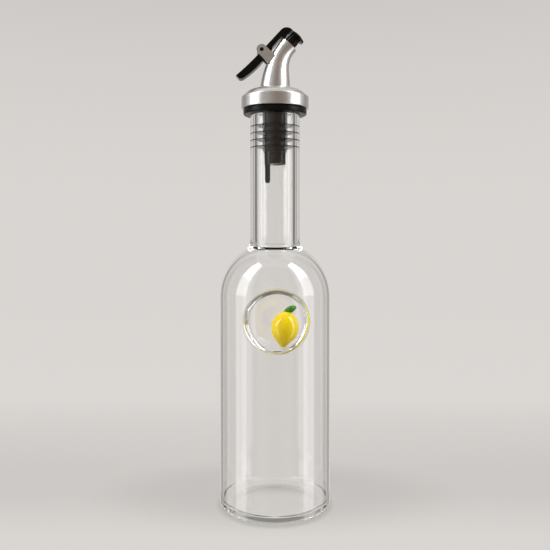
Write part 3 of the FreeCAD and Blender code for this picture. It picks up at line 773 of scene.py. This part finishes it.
class OILBOTTLE_OT_set_stage(Operator):
    """Set the floor, the pale backdrop, the soft lamps and the camera"""
    bl_idname = "oil_bottle.set_stage"
    bl_label = "Set Stage"

    def execute(self, context):
        settings = context.scene.oil_stage
        self.lay_floor(settings)
        self.light_world(context, settings)
        self.hang_lamps(settings)
        self.place_camera(context, settings)
        context.scene.view_settings.view_transform = "Standard"
        return {"FINISHED"}

    def lay_floor(self, settings):
        """Pale paper: part of its tone is its own, so the sweep stays even; the bottle's shadow
        on it is painted.
        """
        finish = Finish("floor_paper")
        paper = finish.shader(Roughness=0.9)
        speckle = finish.speckle(scale=300.0)
        finish.relief(paper, speckle, strength=0.02, depth=0.1 * MM)
        tones = finish.ramp(speckle, [(0.2, scaled(settings.backdrop, 0.995)),
                                      (0.8, settings.backdrop)])
        finish.link(tones, paper, "Base Color")
        place = finish.place()
        reach = finish.vector("LENGTH", place)
        # Tone of the sweep along its depth in metres, from in front to far behind, with a band of
        # painted shade across the floor by the back of the bottle.
        front, back = -0.1, 1.1
        along = finish.span(finish.split(place)["Y"], front, back)
        sweep = finish.ramp(along, [((y - front) / (back - front), shade) for y, shade in (
            (-0.04, settings.floor_near), (0.0104, settings.floor_painted_shade),
            (0.0404, settings.floor_painted_shade), (0.206, settings.floor_mid),
            (0.848, settings.backdrop))])
        # Beside the backdrop, glass and metal see grey screens and a dim border.
        course = finish.split(finish.vector("NORMALIZE", place))["Y"]
        begins, ends = BACKDROP_EDGE
        aside = finish.span(course, ends, begins, smooth=True)
        away = finish.span(reach, 80 * MM, 200 * MM)
        sight = finish.node("ShaderNodeLightPath").outputs
        unseen = finish.reckon("SUBTRACT", 1.0, sight["Is Camera Ray"])
        shown = finish.reckon("MULTIPLY", aside, away)
        share = finish.reckon("MULTIPLY", shown, unseen)
        edges = finish.ramp(course, [(0.76, settings.aside), (0.83, settings.border)])
        glow = finish.node("ShaderNodeEmission")
        finish.link(finish.blend(share, sweep, edges), glow, "Color")
        # Painted shadow of the bottle on the floor: a wide soft oval, and a dark contact line at
        # the foot.
        shadow_oval = finish.vector("MULTIPLY_ADD", place, (1.0, 2.0, 1.0), (0.0, -26 * MM, 0.0))
        shadow_distance = finish.vector("LENGTH", shadow_oval)
        shade = finish.span(shadow_distance, 45 * MM, 115 * MM, low=0.88, smooth=True)
        # Painted contact shadow: a dark ring on the floor round the foot.
        line = finish.span(reach, 27.5 * MM, 32 * MM, low=0.75, smooth=True)
        finish.link(finish.reckon("MULTIPLY", shade, line), glow, "Strength")
        # A little of the lamps' own light falls near the bottle.
        fade = finish.span(reach, 30 * MM, 220 * MM, low=0.88, smooth=True)
        lit = finish.mix(fade, paper.outputs["BSDF"], glow.outputs["Emission"])
        # Mirrored light passes on to the long lamps that reach below the sweep.
        pass_on = finish.node("ShaderNodeBsdfTransparent").outputs["BSDF"]
        finish.link(finish.mix(sight["Is Glossy Ray"], lit, pass_on), finish.output, "Surface")
        vertices, faces = disc(FLOOR_RADIUS, segments=96)
        floor = piece_from("floor", vertices, faces, finish.material)

    def light_world(self, context, settings):
        """Backdrop ahead, screens beside it, dark sides and a warm room behind."""
        world = bpy.data.worlds.new("studio")
        context.scene.world = world
        world.use_nodes = True
        sky = Wiring(world.node_tree)
        aim = sky.split(sky.node("ShaderNodeTexCoord").outputs["Generated"])
        climb = sky.reckon("POWER", sky.span(aim["Z"], 0.0, 0.37), 2.0)
        backdrop = sky.blend(climb, settings.backdrop, settings.backdrop_high)
        level = sky.node("ShaderNodeCombineXYZ")
        sky.feed(level, {"X": aim["X"], "Y": aim["Y"]})
        course = sky.split(sky.vector("NORMALIZE", level.outputs["Vector"]))
        # 0 straight behind the camera, 1 straight ahead.
        turn = sky.span(course["Y"], -1.0, 1.0)
        sides = sky.ramp(turn, [
            (0.45, settings.dark), (0.72, settings.aside), (0.765, settings.gap),
            (0.815, settings.gap), (0.86, settings.aside), (0.90, settings.aside),
            (0.915, settings.border)])
        # Behind the camera: pale on the left, warm and dimmer on the right.
        across = sky.span(course["X"], -0.60, 0.0)
        rear = sky.blend(across, settings.room_left, settings.room)
        walls = sky.blend(sky.span(turn, 0.20, 0.06), sides, rear)
        ahead = sky.span(course["Y"], *BACKDROP_EDGE, smooth=True)
        sight = sky.node("ShaderNodeLightPath").outputs
        open_view = sky.reckon("MAXIMUM", sight["Is Camera Ray"], ahead)
        seen = sky.node("ShaderNodeBackground")
        sky.link(sky.blend(open_view, walls, backdrop), seen, "Color")
        output = sky.node("ShaderNodeOutputWorld")
        sky.link(seen.outputs["Background"], output, "Surface")

    def hang_lamps(self, settings):
        """Two tall columns of soft lamps in front at both sides, and one lamp above."""
        width = settings.lamp_width
        for side, name in ((-1, "left"), (1, "right")):
            place = (side * settings.lamp_aside, -settings.lamp_ahead)
            for part, low, high, radiance in SIDE_LAMPS:
                middle, height = (low + high) / 2, high - low
                softbox(name + "_" + part, (*place, middle), (0, 0, middle), width, height,
                        radiance * math.pi * width * height)
        softbox("top_softbox", (0, 0.1, 1.3), (0, 0, 0), width=1.2, height=1.2, power=1.9)

    def place_camera(self, context, settings):
        """Almost level camera in front, with a small upward shift."""
        lens = bpy.data.cameras.new("camera")
        lens.sensor_width = 36.0
        lens.lens = settings.focal
        lens.shift_y = settings.camera_shift
        lens.clip_start = 0.01
        eye = bpy.data.objects.new("camera", lens)
        eye.location = (0.0, -settings.camera_distance, settings.camera_height)
        eye.rotation_euler = (math.pi / 2 - settings.camera_tilt, 0.0, 0.0)
        context.scene.collection.objects.link(eye)
        context.scene.camera = eye


def disc(radius, segments):
    """Flat round, with rings in metres that are closer together near its middle."""
    vertices = [Vector((0.0, 0.0, 0.0))]
    rings = [0.02, 0.06, 0.15, 0.4, 1.2, radius]
    for reach in rings:
        for j in range(segments):
            t = FULL_TURN * j / segments
            vertices.append(Vector((reach * math.cos(t), reach * math.sin(t), 0.0)))
    faces = [(0, 1 + j, 1 + (j + 1) % segments) for j in range(segments)]
    for i in range(len(rings) - 1):
        a, b = 1 + i * segments, 1 + (i + 1) * segments
        for j in range(segments):
            k = (j + 1) % segments
            faces.append((a + j, b + j, b + k, a + k))
    return vertices, faces


OPERATORS = (
    OILBOTTLE_OT_blow_glass,
    OILBOTTLE_OT_shape_lemon,
    OILBOTTLE_OT_finish_pourer,
    OILBOTTLE_OT_set_stage,
)


class OILBOTTLE_PT_sidebar(Panel):
    """Settings and steps of the oil bottle"""
    bl_idname = "OILBOTTLE_PT_sidebar"
    bl_label = "Oil Bottle"
    bl_space_type = "VIEW_3D"
    bl_region_type = "UI"
    bl_category = "Oil Bottle"

    def draw(self, context):
        layout = self.layout
        for name in GROUPS:
            box = layout.box()
            settings = getattr(context.scene, name)
            for key in settings.bl_rna.properties.keys():
                if key not in ("rna_type", "name"):
                    box.prop(settings, key)
        for step in OPERATORS:
            layout.operator(step.bl_idname)


def register():
    for group in GROUPS.values():
        bpy.utils.register_class(group)
    for name, group in GROUPS.items():
        setattr(bpy.types.Scene, name, PointerProperty(type=group))
    for cls in (*OPERATORS, OILBOTTLE_PT_sidebar):
        bpy.utils.register_class(cls)


def unregister():
    for cls in (OILBOTTLE_PT_sidebar, *reversed(OPERATORS)):
        bpy.utils.unregister_class(cls)
    for name in GROUPS:
        delattr(bpy.types.Scene, name)
    for group in reversed(GROUPS.values()):
        bpy.utils.unregister_class(group)


def main():
    register()
    bpy.ops.oil_bottle.blow_glass()
    bpy.ops.oil_bottle.shape_lemon()
    bpy.ops.oil_bottle.finish_pourer()
    bpy.ops.oil_bottle.set_stage()
    bpy.context.view_layer.update()


if __name__ == "__main__":
    main()
